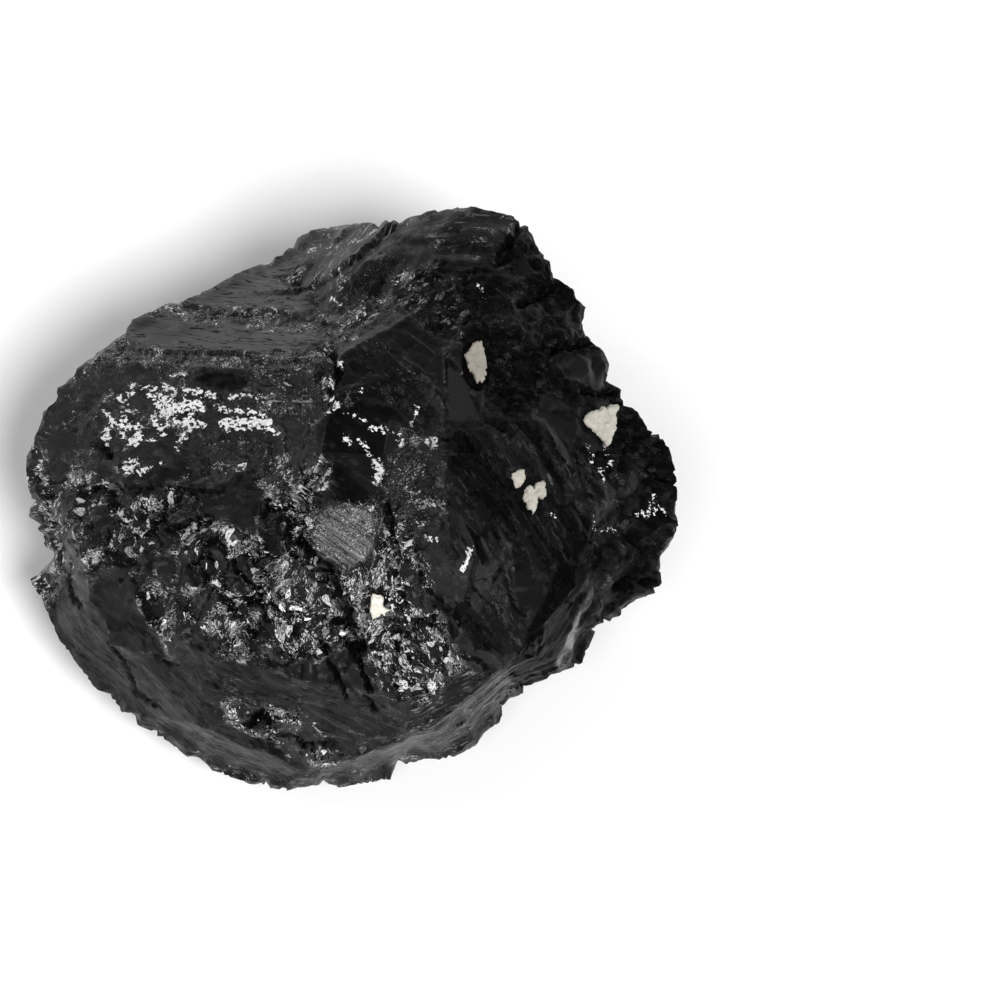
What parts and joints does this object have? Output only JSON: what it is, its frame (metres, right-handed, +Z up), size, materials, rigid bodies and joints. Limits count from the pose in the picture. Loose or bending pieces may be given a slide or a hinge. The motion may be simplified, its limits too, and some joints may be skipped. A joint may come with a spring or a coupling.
{
  "type": "black tourmaline cluster",
  "caption": "Rough broken lump of black tourmaline with fibrous, glittering faces and cream feldspar grains, for display or set dressing on a table, shelf or ground",
  "frame": {"origin": "middle of the footprint of the lump, on the plane of the flat cleavage it rests on", "axes": "+Z up out of the flat base; +X along the longest side, with the large fibrous face on +X; +Y away from the broken glittering slope"},
  "size_m": [0.0906, 0.0764, 0.0466],
  "materials": {
    "tourmaline": "glassy to satin, broken",
    "feldspar": "dull, slightly pearly"
  },
  "bodies": {
    "root": {"tourmaline_mass": "tourmaline", "feldspar_grain_upper": "feldspar", "feldspar_grain_right": "feldspar", "feldspar_grain_small": "feldspar", "feldspar_grain_pair": "feldspar", "feldspar_grain_front": "feldspar"}
  },
  "joints": []
}
